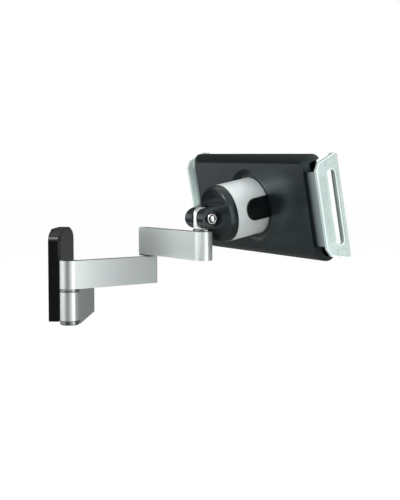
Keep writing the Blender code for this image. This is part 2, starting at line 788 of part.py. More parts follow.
nut_hole = cylinder(
    "nut_hole", BOLT_RADIUS + GAP, NUT_Y - 1.0, NUT_Y + NUT_THICKNESS + 1.0, None, head_frame, "y",
    steps=20,
)
cut(tilt_nut, nut_hole)

# Sleeve, its core and the two release buttons
sleeve = tube(
    "sleeve", SLEEVE_RADIUS, SLEEVE_RADIUS - SLEEVE_WALL, SLEEVE_START_X, SLEEVE_END_X, aluminium,
    head_frame, "x", steps=64,
)
slot_centre_x = BUTTON_START_X + BUTTON_WIDTH / 2
nose_x = HOLDER_X + HUB_GROOVE_START + HUB_GROOVE_WIDTH / 2 - slot_centre_x


def button_outline(clearance, end_x):
    radius = BUTTON_WIDTH / 2 + clearance
    outline = arc((slot_centre_x, 0), radius, 90, 270, 12)
    return outline + [(end_x, -radius), (end_x, radius)]


sleeve_slots = prism(
    "sleeve_slots", button_outline(GAP, SLEEVE_END_X + 1.0), -30.0, 30.0, None, head_frame, "y"
)
cut(sleeve, sleeve_slots)
head_core = turned(
    "head_core",
    [
        (CAP_BACK_X + 2.8, 0),
        (CAP_BACK_X + 2.8, CORE_RADIUS),
        (CORE_END_X - 3.4, CORE_RADIUS),
        (CORE_END_X - 3.4, 12.0),
        (CORE_END_X, 12.0),
        (CORE_END_X, 0),
    ],
    black_plastic, head_frame, "x", steps=32,
)
for side, sign in (("near", -1), ("far", 1)):
    button_frame = frame(f"button_{side}_frame", head_frame, (slot_centre_x, sign * SLEEVE_RADIUS, 0))
    shell = SLEEVE_RADIUS + BUTTON_PROUD
    button = tube(
        f"release_button_{side}", shell, shell - BUTTON_THICKNESS, -slot_centre_x, 60.0,
        gloss_black, button_frame, "x", (-sign * SLEEVE_RADIUS, 0.0), 64,
    )
    reach = sorted((-sign * 6.0, sign * 10.0))
    plan = [(across - slot_centre_x, up) for across, up in button_outline(0.0, SLEEVE_END_X)]
    button_plan = prism(f"button_plan_{side}", plan, *reach, None, button_frame, "y")
    combine(button, "INTERSECT", [button_plan])
    nose_reach = SLEEVE_RADIUS - HUB_GROOVE_RADIUS - BUTTON_STROKE - 0.6
    nose_depth = sorted((-sign * 1.2, -sign * nose_reach))
    button_nose = box(
        f"button_nose_{side}",
        (nose_x - NOSE_THICKNESS / 2, nose_depth[0], -5.0),
        (nose_x + NOSE_THICKNESS / 2, nose_depth[1], 5.0),
        None,
        button_frame,
    )
    join(button, button_nose)

# Holder
lock_hub = turned(
    "lock_hub",
    [
        (HUB_START, 0),
        (HUB_START, HUB_RADIUS - 1.6),
        (HUB_START + 1.6, HUB_RADIUS),
        (HUB_GROOVE_START, HUB_RADIUS),
        (HUB_GROOVE_START, HUB_GROOVE_RADIUS),
        (HUB_GROOVE_START + HUB_GROOVE_WIDTH, HUB_GROOVE_RADIUS),
        (HUB_GROOVE_START + HUB_GROOVE_WIDTH, HUB_RADIUS),
        (FLANGE_X, HUB_RADIUS),
        (FLANGE_X, FLANGE_RADIUS),
        (FLANGE_X + FLANGE_THICKNESS, FLANGE_RADIUS),
        (FLANGE_X + FLANGE_THICKNESS, 0),
    ],
    steel, holder_frame, "x", steps=36,
)


def holder_outline(spread, rise, inset, radius):
    """The holder's outline, wider and higher than its back face by this much on each side."""
    width = holder_width + 2 * (spread - inset)
    height = HOLDER_HEIGHT + 2 * (rise - inset)
    return rectangle(width, height, radius, 5)


def holder_body(name, inset, low, high, material):
    """The holder's outer form, or the room inside it when inset, between two depths."""
    edge = -HOLDER_EDGE / 2
    rim = holder_outline(RIM_SPREAD, RIM_RISE, inset, HOLDER_RIM_CORNER)
    sections = [
        (low, holder_outline(edge, edge, inset, HOLDER_CORNER - 1.5)),
        (low + 0.9, holder_outline(0.0, 0.0, inset, HOLDER_CORNER)),
        (HOLDER_SHOULDER_X, holder_outline(0.62 * RIM_SPREAD, 0.58 * RIM_RISE, inset, HOLDER_CORNER + 1.5)),
        (HOLDER_RIM_X, rim),
        (high, rim),
    ]
    return loft(name, sections, material, holder_frame, "x")


def grip_corners(grown):
    """The grip's outline in x and z, grown by a clearance; grown past its back, it reaches behind the holder."""
    back = GRIP_BACK_X - 4 * grown
    shoulder = GRIP_BACK_X + 3.0
    return [
        (back, -GRIP_BACK_HALF - grown, 1.0),
        (shoulder, -GRIP_SHOULDER_HALF - grown, 2.5),
        (GRIP_FRONT_X + grown, -GRIP_FRONT_HALF - grown, 2.0),
        (GRIP_FRONT_X + grown, GRIP_FRONT_HALF + grown, 2.0),
        (shoulder, GRIP_SHOULDER_HALF + grown, 2.5),
        (back, GRIP_BACK_HALF + grown, 1.0),
    ]


holder_shell = holder_body("holder_shell", 0.0, 0.0, HOLDER_DEPTH, black_plastic)
holder_room = holder_body("holder_room", HOLDER_WALL, HOLDER_WALL, HOLDER_DEPTH + 1.0, None)
recess_boss = cylinder(
    "recess_boss", RECESS_RADIUS + 1.2, 0.6, RECESS_DEPTH + 1.4, None, holder_frame, "x", steps=56
)
recess = turned(
    "recess",
    [
        (-2.0, 0),
        (-2.0, RECESS_RADIUS + 1.2),
        (0.0, RECESS_RADIUS),
        (1.2, RECESS_RADIUS - 1.6),
        (RECESS_DEPTH, RECESS_FLOOR_RADIUS),
        (RECESS_DEPTH, 0),
    ],
    None, holder_frame, "x", steps=56,
)
hub_hole = cylinder(
    "hub_hole", HUB_RADIUS + GAP, -2.0, HOLDER_DEPTH, None, holder_frame, "x", steps=36
)
cut(holder_shell, holder_room)
join(holder_shell, recess_boss)
cut(holder_shell, recess, hub_hole)
for side, sign in (("near", -1), ("far", 1)):
    block_end = TABLET_HALF_WIDTH - SLIDER_BLOCK_LENGTH - GRIP_INWARD - 2 * GRIP_CLEARANCE
    for level, start, floor in (("back", window_start, -1.0), ("inside", block_end, HOLDER_WALL)):
        ends = sorted((sign * start, sign * (rim_width / 2 + 4.0)))
        window = box(
            f"window_{side}_{level}", (floor, ends[0], -WINDOW_HALF),
            (HOLDER_DEPTH + 1.0, ends[1], WINDOW_HALF), None, holder_frame,
        )
        cut(holder_shell, window)

grip_rooms = []
for side, sign in (("near", -1), ("far", 1)):
    room_reach = sorted((sign * grip_stop, sign * (rim_width / 2 + 4.0)))
    grip_room = prism(
        f"grip_room_{side}", rounded(grip_corners(GRIP_CLEARANCE)), *room_reach, None, holder_frame, "y"
    )
    grip_rooms.append(grip_room)
cut(holder_shell, *grip_rooms)

front_x = HOLDER_DEPTH + GAP
front_plate = loft(
    "front_plate",
    [
        (front_x, holder_outline(RIM_SPREAD, RIM_RISE, 0.0, HOLDER_RIM_CORNER)),
        (front_x + 0.7, holder_outline(RIM_SPREAD, RIM_RISE, 0.0, HOLDER_RIM_CORNER)),
        (front_x + FRONT_THICKNESS, holder_outline(RIM_SPREAD, RIM_RISE, 0.7, HOLDER_RIM_CORNER - 0.7)),
    ],
    black_plastic,
    holder_frame,
    "x",
)
cut(front_plate, *grip_rooms)
for side, sign in (("near", -1), ("far", 1)):
    for level, up in (("low", -1), ("high", 1)):
        name = f"{side}_{level}"
        centre = (sign * (TABLET_HALF_WIDTH - PAD_INSET), up * (rim_height / 2 - PAD_DROP))
        pad_floor = front_x + 0.7
        pad_pocket = prism(
            f"pad_pocket_{name}",
            rectangle(PAD_WIDTH + 2 * GAP, PAD_HEIGHT + 2 * GAP, PAD_CORNER + GAP, centre=centre),
            pad_floor, front_x + 2 * FRONT_THICKNESS, None, holder_frame, "x",
        )
        cut(front_plate, pad_pocket)
        prism(
            f"rubber_pad_{name}", rectangle(PAD_WIDTH, PAD_HEIGHT, PAD_CORNER, centre=centre),
            pad_floor + 0.2, pad_floor + 0.2 + PAD_THICKNESS, rubber, holder_frame, "x",
        )

# Pinion and the two sliders with their racks
pitch_radius = TOOTH_PITCH * TEETH / (2 * math.pi)
tooth_depth = 1.8
tooth_first = 8.5 * TOOTH_PITCH
pinion_frame = frame("pinion_frame", holder_frame, (RACK_X, 0, 0), 180.0 / TEETH, "X")
pinion_outline = []
for tooth in range(TEETH):
    start = 360.0 * tooth / TEETH
    pinion_outline += arc((0, 0), pitch_radius - tooth_depth / 2, start - 8.0, start - 5.5, 1)
    pinion_outline += arc((0, 0), pitch_radius + tooth_depth / 2 - 0.5, start - 2.6, start + 2.6, 1)
    pinion_outline += arc((0, 0), pitch_radius - tooth_depth / 2, start + 5.5, start + 8.0, 1)
prism("pinion", pinion_outline, 0.0, RACK_THICKNESS, nylon, pinion_frame, "x")


def rack_outline(sign, end):
    """One slider's plan in y and z: its rack runs past the pinion, and its end block is at the side."""
    tooth_low = pitch_radius - tooth_depth / 2 + 0.6
    tooth_high = pitch_radius + tooth_depth / 2 + 0.5
    top = tooth_high + 5.0
    outline = [(end, -WINDOW_HALF + 0.4), (end, WINDOW_HALF - 0.4)]
    wide = TABLET_HALF_WIDTH - SLIDER_BLOCK_LENGTH - 11.6
    outline += [(sign * wide, WINDOW_HALF - 0.4), (sign * (wide - 6.0), top), (-sign * 34.0, top)]
    outline += [(-sign * 34.0, tooth_high)]
    for tooth in range(RACK_TEETH):
        middle = -sign * (tooth_first - tooth * TOOTH_PITCH)
        outline += [(middle - sign * 1.15, tooth_high), (middle - sign * 0.5, tooth_low)]
        outline += [(middle + sign * 0.5, tooth_low), (middle + sign * 1.15, tooth_high)]
    outline += [(sign * (wide - 8.0), tooth_high), (sign * (wide - 2.0), -WINDOW_HALF + 0.4)]
    return outline


for side, sign in (("near", -1), ("far", 1)):
    up = 1 if sign < 0 else -1
    grip_frame = frame(f"grip_{side}_frame", holder_frame, (0, sign * TABLET_HALF_WIDTH, 0))
    offset = sign * TABLET_HALF_WIDTH
    plan = rack_outline(sign, sign * (TABLET_HALF_WIDTH - 0.2))
    plan = [(across - offset, up * height) for across, height in plan]
    slider = prism(
        f"slider_{side}", plan, RACK_X, RACK_X + RACK_THICKNESS, slider_plastic, grip_frame, "x"
    )
    block = [
        (HOLDER_WALL + GAP, -sign * SLIDER_BLOCK_LENGTH),
        (HOLDER_WALL + GAP, -sign * 11.0),
        (HOLDER_WALL + GAP + 0.3, -sign * 7.0),
        (HOLDER_WALL + GAP + 1.0, -sign * 3.4),
        (HOLDER_WALL + GAP + 2.2, -sign * 0.2),
        (RACK_X + RACK_THICKNESS, -sign * 0.2),
        (RACK_X + RACK_THICKNESS, -sign * SLIDER_BLOCK_LENGTH),
    ]
    slider_block = prism(
        f"slider_block_{side}", block, -WINDOW_HALF + 0.4, WINDOW_HALF - 0.4, None, grip_frame
    )
    join(slider, slider_block)

    plate_depth = sorted((sign * 0.1, sign * (0.1 + GRIP_THICKNESS)))
    grip = prism(
        f"grip_{side}", rounded(grip_corners(0.0)), *plate_depth, grip_plastic, grip_frame, "y"
    )
    lip_depth = sorted((-sign * GRIP_LIP, sign * 0.6))
    grip_lip = prism(
        f"grip_lip_{side}",
        rounded(
            [
                (GRIP_FRONT_X - GRIP_LIP_THICKNESS, -GRIP_FRONT_HALF + 1.0, 0.8),
                (GRIP_FRONT_X + GRIP_LIP_PROUD, -GRIP_FRONT_HALF + 1.0, 0.8),
                (GRIP_FRONT_X + GRIP_LIP_PROUD, GRIP_FRONT_HALF - 1.0, 0.8),
                (GRIP_FRONT_X - GRIP_LIP_THICKNESS, GRIP_FRONT_HALF - 1.0, 0.8),
            ]
        ),
        *lip_depth, None, grip_frame, "y",
    )
    slot_x = sum(GRIP_SLOT_X) / 2
    slot_width = GRIP_SLOT_X[1] - GRIP_SLOT_X[0]
    grip_slot = prism(
        f"grip_slot_{side}",
        rectangle(slot_width, 2 * GRIP_SLOT_HALF, slot_width / 2 - 0.05, 6, (slot_x, 0.0)),
        -6.0, 6.0, None, grip_frame, "y",
    )
    join(grip, grip_lip)
    cut(grip, grip_slot)
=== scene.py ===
"""Looks of the tablet wall mount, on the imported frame.

Finishes, rounded edges, detail pieces, studio and camera.
"""

import json
import math

import bmesh
import bpy
from mathutils import Matrix, Vector

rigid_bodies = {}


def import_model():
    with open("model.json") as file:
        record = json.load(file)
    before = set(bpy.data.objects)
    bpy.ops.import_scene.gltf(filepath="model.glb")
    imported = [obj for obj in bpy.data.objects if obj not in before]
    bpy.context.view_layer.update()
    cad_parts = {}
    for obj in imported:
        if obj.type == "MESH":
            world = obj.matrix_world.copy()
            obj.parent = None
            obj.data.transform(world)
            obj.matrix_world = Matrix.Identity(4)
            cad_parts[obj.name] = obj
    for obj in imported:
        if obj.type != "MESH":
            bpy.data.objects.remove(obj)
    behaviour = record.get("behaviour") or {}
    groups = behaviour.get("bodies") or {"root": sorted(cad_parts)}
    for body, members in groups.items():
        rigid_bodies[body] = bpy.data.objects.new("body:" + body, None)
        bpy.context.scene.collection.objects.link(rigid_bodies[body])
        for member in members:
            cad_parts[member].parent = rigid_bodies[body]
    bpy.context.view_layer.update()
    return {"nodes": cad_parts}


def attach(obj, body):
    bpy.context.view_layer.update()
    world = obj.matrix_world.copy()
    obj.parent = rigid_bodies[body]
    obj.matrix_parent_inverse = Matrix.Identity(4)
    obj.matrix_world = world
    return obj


MM = 0.001

# Camera at the photograph's angle: metres, degrees and millimetres
CAMERA_PLACE = (0.1556, -0.8575, 0.0782)
CAMERA_PITCH = 85.94
CAMERA_HEADING = 2.8
CAMERA_LENS = 79.2
SENSOR_WIDTH = 36.0

# Headings and slopes of the arms, the head and the holder at rest, in degrees
ARM_1_HEADING = 42.4
ARM_2_HEADING = -54.4
HEAD_HEADING = 33.3
HEAD_TILT = 11.2
HOLDER_TURN = 0.8

# Middles of the tilt hinge and of the holder's back, in metres
HEAD_PLACE = (0.118341, -0.057494, 0.0446)
HOLDER_PLACE = (0.153187, -0.034605, 0.052855)

# Tilt bolt's detail, in millimetres; on the head x runs to the holder, y across and z up
BOLT_FACE_Y = -13.4
BOLT_RADIUS = 3.6
BOLT_BEAD = 0.35
SOCKET_RADIUS = 2.9
SOCKET_STEP = 0.1
SOCKET_RISE = 0.15
DOME_RADIUS = 2.2
DOME_HEIGHT = 2.4
DOME_CROWN = 0.7
DOME_FLAT_RADIUS = 0.1
DOME_STEPS = 6

# Grips' detail, in millimetres; on the holder x runs out of its front, y across and z up
GRIP_FACE_Y = 87.2
GRIP_SLOT_X = (9.8, 15.9)
GRIP_SLOT_HALF = 26.3
GRIP_EDGE_CORNERS = ((19.6, 37.2), (3.9, 32.2), (1.1, 27.3))
GRIP_EDGE_RADIUS = 0.42
SLOT_RIM_RADIUS = 0.38
GRIP_RIBS_X = (3.4, 5.2, 7.0)
GRIP_RIB_HALF = 23.0
GRIP_RIB_RADIUS = 0.35
GRIP_RAIL_X = 17.9
GRIP_RAIL_RADIUS = 0.6
END_BLOCK_X = (8.6, 17.2)
END_BLOCK_Z = (29.6, 34.8)
END_BLOCK_CUT = 1.5

# Where the sliders' painted shade under the holder's edge gives way, in millimetres from the holder's
# middle
SLIDER_PAINTED_SHADE = (74.0, 87.0)

# Rounding of the frame's edges, in millimetres and degrees
EDGE_ANGLE = 28.0
WELD_DISTANCE = 0.004
FLAT_ANGLE = 0.6
NORMAL_WEIGHT = 80

# Wear and painted highlight on edges: its reach in millimetres, how alike the true and the rounded
# normal are on a flat and on an edge, and the patches of noise that break it up
WEAR_AND_HIGHLIGHT_REACH = 0.5
WEAR_AND_HIGHLIGHT_LIKENESS = (0.995, 0.93)
WEAR_AND_HIGHLIGHT_SCALE = 260.0
WEAR_AND_HIGHLIGHT_PATCHES = (0.38, 0.62)

# Painted shade in recesses: open sky that a point deep in a recess and one out in the open see
RECESS_SHADE = (0.35, 0.85)

# Parts of the noise that colour and roughness spread over, and how much finer the roughness's patches are
CLOUD_RANGE = (0.3, 0.7)
ROUGHNESS_RANGE = (0.25, 0.75)
ROUGHNESS_FINENESS = 6.0

# Two tones that bare aluminium varies between
ALUMINIUM_TONES = ((0.81, 0.865, 0.855), (0.765, 0.82, 0.81))

# Floor and white background, in metres
FLOOR_LEVEL = -0.118
FLOOR_SIZE = 12.0
FLOOR_COLOUR = (0.90, 0.90, 0.89)
FLOOR_ROUGHNESS = 0.6
FLOOR_GLOW = 1.08
FLOOR_GLOW_SHARE = 0.85
FLOOR_NEAR_SHADE = 0.25
FLOOR_SHADE_REACH = (0.15, 1.3)
FILL_COLOUR = (0.95, 0.97, 1.0)
FILL_STRENGTH = 0.55

# What polished surfaces see round them: (degrees from the camera's side towards +X, brightness)
RING_START = -90.0
LOW_RING = (
    (-90, 1.10), (-75, 1.00), (-48, 0.85), (-32, 0.12), (-22, 0.03), (4, 0.03), (18, 0.70),
    (34, 1.05), (62, 1.05), (80, 0.22), (110, 0.20), (135, 0.16), (180, 0.10), (215, 0.12),
    (230, 0.50), (243, 1.10), (270, 1.10),
)
MIDDLE_RING = (
    (-90, 0.45), (-60, 0.75), (-30, 0.85), (60, 1.10), (100, 0.85), (150, 0.40), (185, 0.08),
    (240, 0.04), (270, 0.45),
)
OVERHEAD = 1.0

# Heights, as sines, over which the low ring gives way to the middle one, and that to the overhead
MIDDLE_START = (0.22, 0.46)
OVERHEAD_START = (0.55, 0.85)

# Two narrow strip lights, whose glints show on the glossy pieces: metres, watts and degrees
STAGE_MIDDLE = (0.1, -0.02, 0.03)
STRIP_DISTANCE = 1.2
STRIP_LEVEL = 0.05
STRIP_SIZE = (0.05, 0.5)
STRIP_POWER = 0.18
STRIP_HEADINGS = {"strip_left": -69.0, "strip_right": 57.0}


def turned_matrix(place, *turns):
    """A frame at this place, turned by each (degrees, axis) in order."""
    matrix = Matrix.Translation(place)
    for angle, axis in turns:
        matrix = matrix @ Matrix.Rotation(math.radians(angle), 4, axis)
    return matrix


HEAD_MATRIX = turned_matrix(HEAD_PLACE, (HEAD_HEADING, "Z"), (-HEAD_TILT, "Y"))
HOLDER_MATRIX = turned_matrix(HOLDER_PLACE, (HEAD_HEADING, "Z"), (-HEAD_TILT, "Y"), (HOLDER_TURN, "X"))


def clear_scene():
    for obj in list(bpy.data.objects):
        bpy.data.objects.remove(obj, do_unlink=True)


def add_object(name, data):
    obj = bpy.data.objects.new(name, data)
    bpy.context.scene.collection.objects.link(obj)
    return obj


# Shader nodes


def add_node(tree, kind, **settings):
    node = tree.nodes.new(kind)
    for name, value in settings.items():
        setattr(node, name, value)
    return node


def noise(tree, vector, scale, detail=3.0, roughness=0.5):
    node = add_node(tree, "ShaderNodeTexNoise")
    node.inputs["Scale"].default_value = scale
    node.inputs["Detail"].default_value = detail
    node.inputs["Roughness"].default_value = roughness
    tree.links.new(vector, node.inputs["Vector"])
    return node.outputs["Fac"]


def map_range(tree, value, start, end, to_low=0.0, to_high=1.0):
    """The value, stretched so that start becomes the low number and end the high one."""
    node = add_node(tree, "ShaderNodeMapRange", clamp=True)
    node.inputs["From Min"].default_value = start
    node.inputs["From Max"].default_value = end
    node.inputs["To Min"].default_value = to_low
    node.inputs["To Max"].default_value = to_high
    tree.links.new(value, node.inputs["Value"])
    return node.outputs["Result"]


def mix_colour(tree, factor, first, second):
    """A blend of two colours; either one may be the output of another node."""
    node = add_node(tree, "ShaderNodeMix", data_type="RGBA")
    tree.links.new(factor, node.inputs["Factor"])
    for socket, colour in ((node.inputs[6], first), (node.inputs[7], second)):
        if isinstance(colour, tuple):
            socket.default_value = (*colour, 1.0)
        else:
            tree.links.new(colour, socket)
    return node.outputs[2]


def mix_shaders(tree, factor, first, second):
    node = add_node(tree, "ShaderNodeMixShader")
    for socket, output in zip(node.inputs, (factor, first, second)):
        tree.links.new(output, socket)
    return node.outputs[0]


def calculate(tree, operation, first, second):
    """Two numbers joined by a Math node; the second may be a plain number."""
    node = add_node(tree, "ShaderNodeMath", operation=operation)
    tree.links.new(first, node.inputs[0])
    if isinstance(second, float):
        node.inputs[1].default_value = second
    else:
        tree.links.new(second, node.inputs[1])
    return node.outputs[0]


def wear_and_highlight_mask(tree, vector):
    """1 on the outer edges, which get wear and a painted highlight, broken up by noise, and 0 on the
    flats.
    """
    bevel = add_node(tree, "ShaderNodeBevel", samples=4)
    bevel.inputs["Radius"].default_value = WEAR_AND_HIGHLIGHT_REACH * MM
    geometry = add_node(tree, "ShaderNodeNewGeometry")
    likeness = add_node(tree, "ShaderNodeVectorMath", operation="DOT_PRODUCT")
    tree.links.new(bevel.outputs["Normal"], likeness.inputs[0])
    tree.links.new(geometry.outputs["Normal"], likeness.inputs[1])
    edge = map_range(tree, likeness.outputs["Value"], *WEAR_AND_HIGHLIGHT_LIKENESS)
    patches = map_range(tree, noise(tree, vector, WEAR_AND_HIGHLIGHT_SCALE, 4.0), *WEAR_AND_HIGHLIGHT_PATCHES)
    return calculate(tree, "MULTIPLY", edge, patches)


def painted_recess_shade(tree, reach):
    """Painted shade: 0 deep in a recess and 1 out in the open, judged within the reach in millimetres."""
    shade = add_node(tree, "ShaderNodeAmbientOcclusion", samples=8, only_local=True)
    shade.inputs["Distance"].default_value = reach * MM
    return map_range(tree, shade.outputs["AO"], *RECESS_SHADE)


def out_of_painted_shade(tree, place):
    """Painted shade: 0 under the holder's edge and 1 beside the grips, by distance from the holder's
    middle.
    """
    offset = add_node(tree, "ShaderNodeVectorMath", operation="SUBTRACT")
    offset.inputs[1].default_value = HOLDER_MATRIX.translation
    tree.links.new(place, offset.inputs[0])
    along = add_node(tree, "ShaderNodeVectorMath", operation="DOT_PRODUCT")
    along.inputs[1].default_value = HOLDER_MATRIX.to_3x3().col[1]
    tree.links.new(offset.outputs[0], along.inputs[0])
    distance = add_node(tree, "ShaderNodeMath", operation="ABSOLUTE")
    tree.links.new(along.outputs["Value"], distance.inputs[0])
    start, end = (value * MM for value in SLIDER_PAINTED_SHADE)
    return map_range(tree, distance.outputs[0], start, end)


def turned_back(tree, place, turn, stretch):
    """The place, turned back by these degrees about the vertical and stretched along its axes."""
    turned = add_node(tree, "ShaderNodeMapping")
    turned.inputs["Rotation"].default_value = (0.0, 0.0, math.radians(-turn))
    tree.links.new(place, turned.inputs["Vector"])
    stretched = add_node(tree, "ShaderNodeMapping")
    stretched.inputs["Scale"].default_value = stretch
    tree.links.new(turned.outputs["Vector"], stretched.inputs["Vector"])
    return stretched.outputs["Vector"]


def fine_grain(tree, vector, scale, height, strength):
    """A normal made uneven by fine noise of this height in millimetres."""
    bump = add_node(tree, "ShaderNodeBump")
    bump.inputs["Strength"].default_value = strength
    bump.inputs["Distance"].default_value = height * MM
    tree.links.new(noise(tree, vector, scale, 2.0, 0.7), bump.inputs["Height"])
    return bump.outputs["Normal"]


# Finishes


def make_material(
    name,
    colour,
    second_colour,
    roughness,
    metallic=0.0,
    wear_and_highlight_colour=None,
    cloud_scale=35.0,
    grain_scale=2200.0,
    grain_height=0.004,
    grain_strength=0.25,
    stretch=(1.0, 1.0, 1.0),
    turn=0.0,
    painted_shade_colour=None,
    painted_shade_reach=2.0,
    colour_past_painted_shade=None,
    **constants,
):
    """A finish: cloudy colour, roughness that varies, fine grain, and edges lighter with wear and a
    painted highlight.
    """
    material = bpy.data.materials.new(name)
    material.use_nodes = True
    tree = material.node_tree
    shader = tree.nodes["Principled BSDF"]
    place = add_node(tree, "ShaderNodeTexCoord").outputs["Object"]
    grain_place = turned_back(tree, place, turn, stretch)

    clouds = map_range(tree, noise(tree, place, cloud_scale, 5.0), *CLOUD_RANGE)
    base = mix_colour(tree, clouds, colour, second_colour)
    # Lighter edges: partly wear, partly painted highlight
    if wear_and_highlight_colour:
        base = mix_colour(tree, wear_and_highlight_mask(tree, place), base, wear_and_highlight_colour)
    # Painted shade deep in recesses
    if painted_shade_colour:
        base = mix_colour(tree, painted_recess_shade(tree, painted_shade_reach), painted_shade_colour, base)
    # Painted shade under the holder's edge, lighter towards the grips
    if colour_past_painted_shade:
        base = mix_colour(tree, out_of_painted_shade(tree, place), base, colour_past_painted_shade)
    tree.links.new(base, shader.inputs["Base Color"])

    patches = noise(tree, grain_place, cloud_scale * ROUGHNESS_FINENESS, 6.0, 0.6)
    tree.links.new(map_range(tree, patches, *ROUGHNESS_RANGE, *roughness), shader.inputs["Roughness"])
    grain = fine_grain(tree, grain_place, grain_scale, grain_height, grain_strength)
    tree.links.new(grain, shader.inputs["Normal"])
    shader.inputs["Metallic"].default_value = metallic
    for socket, value in constants.items():
        shader.inputs[socket.replace("_", " ")].default_value = value
    return material


def make_aluminium(name, roughness, tones=ALUMINIUM_TONES, metallic=0.86, **settings):
    """Satin aluminium; a stretch below 1 draws the grain out along that axis."""
    return make_material(
        name, *tones, roughness, metallic=metallic, wear_and_highlight_colour=(0.93, 0.94, 0.94),
        grain_scale=2600.0, grain_height=0.002, grain_strength=0.05, **settings,
    )


def round_edges(obj, width, segments):
    """Shades a frame piece smooth and rounds its sharp edges with modifiers; its vertices stay."""
    mesh = obj.data
    if mesh.attributes.get("custom_normal"):
        mesh.attributes.remove(mesh.attributes["custom_normal"])
    mesh.polygons.foreach_set("use_smooth", [True] * len(mesh.polygons))
    weld = obj.modifiers.new("weld", "WELD")
    weld.merge_threshold = WELD_DISTANCE * MM
    flats = obj.modifiers.new("flats", "DECIMATE")
    flats.decimate_type = "DISSOLVE"
    flats.angle_limit = math.radians(FLAT_ANGLE)
    bevel = obj.modifiers.new("edges", "BEVEL")
    bevel.width = width * MM
    bevel.segments = segments
    bevel.limit_method = "ANGLE"
    bevel.angle_limit = math.radians(EDGE_ANGLE)
    weights = obj.modifiers.new("weights", "WEIGHTED_NORMAL")
    weights.weight = NORMAL_WEIGHT


def dress(material, width, *nodes, segments=3):
    """Gives these frame pieces a finish, and edges rounded by the width in millimetres."""
    for node in nodes:
        obj = frame["nodes"][node]
        obj.data.materials.clear()
        obj.data.materials.append(material)
        round_edges(obj, width, segments)


# Detail pieces


def circle(radius, count=48):
    angles = [math.tau * step / count for step in range(count)]
    return [(radius * math.cos(angle), radius * math.sin(angle)) for angle in angles]


def add_bead(name, points, radius, matrix, body, material, closed=False):
    """A round moulded line through these points, half sunk in the face that it lies on."""
    curve = bpy.data.curves.new(name, "CURVE")
    curve.dimensions = "3D"
    curve.bevel_depth = radius * MM
    curve.bevel_resolution = 3
    curve.use_fill_caps = not closed
    spline = curve.splines.new("POLY")
    spline.points.add(len(points) - 1)
    spline.use_cyclic_u = closed
    for target, point in zip(spline.points, points):
        target.co = (*(matrix @ (Vector(point) * MM)), 1.0)
    spline.use_smooth = True
    curve.materials.append(material)
    obj = add_object(name, curve)
    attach(obj, body)


def slot_outline(face):
    """Points round the grip's slot, one rim radius outside its edge, with two round ends."""
    low_x, high_x = GRIP_SLOT_X
    middle = (low_x + high_x) / 2
    half_width = (high_x - low_x) / 2
    end_level = GRIP_SLOT_HALF - half_width
    radius = half_width + SLOT_RIM_RADIUS
    points = []
    for end, first_angle in ((1, 0), (-1, 180)):
        for turn in range(0, 181, 15):
            angle = math.radians(first_angle + turn)
            across = middle + radius * math.cos(angle)
            points.append((across, face, end * end_level + radius * math.sin(angle)))
    return points


def add_grip_lines(side, sign):
    """The near or far grip's edge and slot rim in painted highlight, its ribs and rail, and its two end
    blocks.
    """
    face = sign * GRIP_FACE_Y
    body = f"grip_{side}"

    def add_line(name, points, radius, material, closed=False):
        add_bead(
            f"{body}_{name}", points, radius, HOLDER_MATRIX, body, material, closed
        )

    for number, x in enumerate(GRIP_RIBS_X, start=1):
        ends = [(x, face, -GRIP_RIB_HALF), (x, face, GRIP_RIB_HALF)]
        add_line(f"rib_{number}", ends, GRIP_RIB_RADIUS, grip_clear)
    lower = [(x, face, -z) for x, z in GRIP_EDGE_CORNERS]
    upper = [(x, face, z) for x, z in reversed(GRIP_EDGE_CORNERS)]
    add_line("edge", lower + upper, GRIP_EDGE_RADIUS, grip_painted_highlight)
    add_line("slot_rim", slot_outline(face), SLOT_RIM_RADIUS, grip_painted_highlight, closed=True)
    ends = [(GRIP_RAIL_X, face, -GRIP_SLOT_HALF), (GRIP_RAIL_X, face, GRIP_SLOT_HALF)]
    add_line("rail", ends, GRIP_RAIL_RADIUS, grip_clear)
    low_x, high_x = END_BLOCK_X
    low_z, high_z = END_BLOCK_Z
    corners = ((low_x, low_z), (high_x, low_z), (high_x, high_z), (low_x + END_BLOCK_CUT, high_z))
    for level, up in (("low", -1), ("high", 1)):
        outline = [(x, face, up * z) for x, z in corners]
        add_line(f"block_{level}", outline, GRIP_RIB_RADIUS, grip_clear, closed=True)


def add_turned_piece(name, profile, matrix, body, material, count=40):
    """A solid turned round the matrix's y axis; the profile is (y, radius) from end to end."""
    mesh = bmesh.new()
    rings = [
        [mesh.verts.new(matrix @ (Vector((x, y, z)) * MM)) for x, z in circle(radius, count)]
        for y, radius in profile
    ]
    for inner, outer in zip(rings, rings[1:]):
        for step in range(count):
            after = (step + 1) % count
            mesh.faces.new((inner[step], inner[after], outer[after], outer[step]))
    for ring_end in (rings[0], rings[-1]):
        mesh.faces.new(ring_end)
    bmesh.ops.recalc_face_normals(mesh, faces=mesh.faces)
    data = bpy.data.meshes.new(name)
    mesh.to_mesh(data)
    mesh.free()
    data.shade_smooth()
    data.materials.append(material)
    obj = add_object(name, data)
    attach(obj, body)


